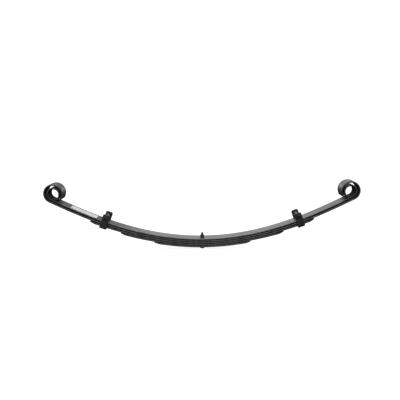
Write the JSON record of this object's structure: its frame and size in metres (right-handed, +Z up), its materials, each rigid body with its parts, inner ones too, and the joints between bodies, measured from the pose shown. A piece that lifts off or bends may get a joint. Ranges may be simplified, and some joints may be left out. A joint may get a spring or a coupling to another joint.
{
  "type": "leaf spring",
  "caption": "Arched multi-leaf truck spring with upturned eyes, a wrapped second leaf, stepped shorter leaves, two bolted rebound clips and a center bolt.",
  "frame": {"origin": "middle of the lowest leaf's underside, where the pack sits on the axle pad and the center bolt passes", "axes": "+X along the spring towards the rear eye, +Y across the leaves, +Z up, from the seat towards the eyes"},
  "size_m": [1.177, 0.0926, 0.2547],
  "materials": {
    "leaf_paint": "satin black paint on hot-rolled spring steel",
    "clip_paint": "satin black paint on bent steel strap",
    "fastener": "black painted steel fastener",
    "pad_plastic": "dark low-friction plastic",
    "label": "blank pale vinyl label"
  },
  "bodies": {
    "leaf_pack": {"main_leaf": "leaf_paint", "wrapper_leaf": "leaf_paint", "third_leaf": "leaf_paint", "fourth_leaf": "leaf_paint", "fifth_leaf": "leaf_paint", "third_leaf_front_pad": "pad_plastic", "fourth_leaf_front_pad": "pad_plastic", "third_leaf_rear_pad": "pad_plastic", "fourth_leaf_rear_pad": "pad_plastic", "label": "label", "center_bolt": "fastener", "center_nut": "fastener"},
    "front_arm": {"front_clip_strap": "clip_paint", "front_clip_rivet": "clip_paint", "front_clip_bolt": "fastener", "front_clip_nut": "fastener"},
    "rear_arm": {"rear_clip_strap": "clip_paint", "rear_clip_rivet": "clip_paint", "rear_clip_bolt": "fastener", "rear_clip_nut": "fastener"},
    "front_spacer": {"front_clip_spacer": "clip_paint"},
    "rear_spacer": {"rear_clip_spacer": "clip_paint"}
  },
  "joints": [
    {"name": "front_flex", "type": "hinge", "parent": "leaf_pack", "child": "front_arm", "pos_m": [-0.185, 0, 0.036], "axis": [0, -1, 0], "range_deg": [0, 16], "stiffness_Nm_per_rad": 2100, "deforming": ["main_leaf", "wrapper_leaf", "third_leaf", "fourth_leaf", "fifth_leaf", "third_leaf_front_pad", "fourth_leaf_front_pad", "label"]},
    {"name": "rear_flex", "type": "hinge", "parent": "leaf_pack", "child": "rear_arm", "pos_m": [0.185, 0, 0.036], "axis": [0, 1, 0], "range_deg": [0, 16], "stiffness_Nm_per_rad": 2100, "deforming": ["main_leaf", "wrapper_leaf", "third_leaf", "fourth_leaf", "fifth_leaf", "third_leaf_rear_pad", "fourth_leaf_rear_pad"]},
    {"name": "front_spacer_turn", "type": "hinge", "parent": "front_arm", "child": "front_spacer", "pos_m": [-0.35835, 0, 0.11613], "axis": [0, 1, 0], "continuous": true},
    {"name": "rear_spacer_turn", "type": "hinge", "parent": "rear_arm", "child": "rear_spacer", "pos_m": [0.35835, 0, 0.11613], "axis": [0, 1, 0], "continuous": true}
  ]
}
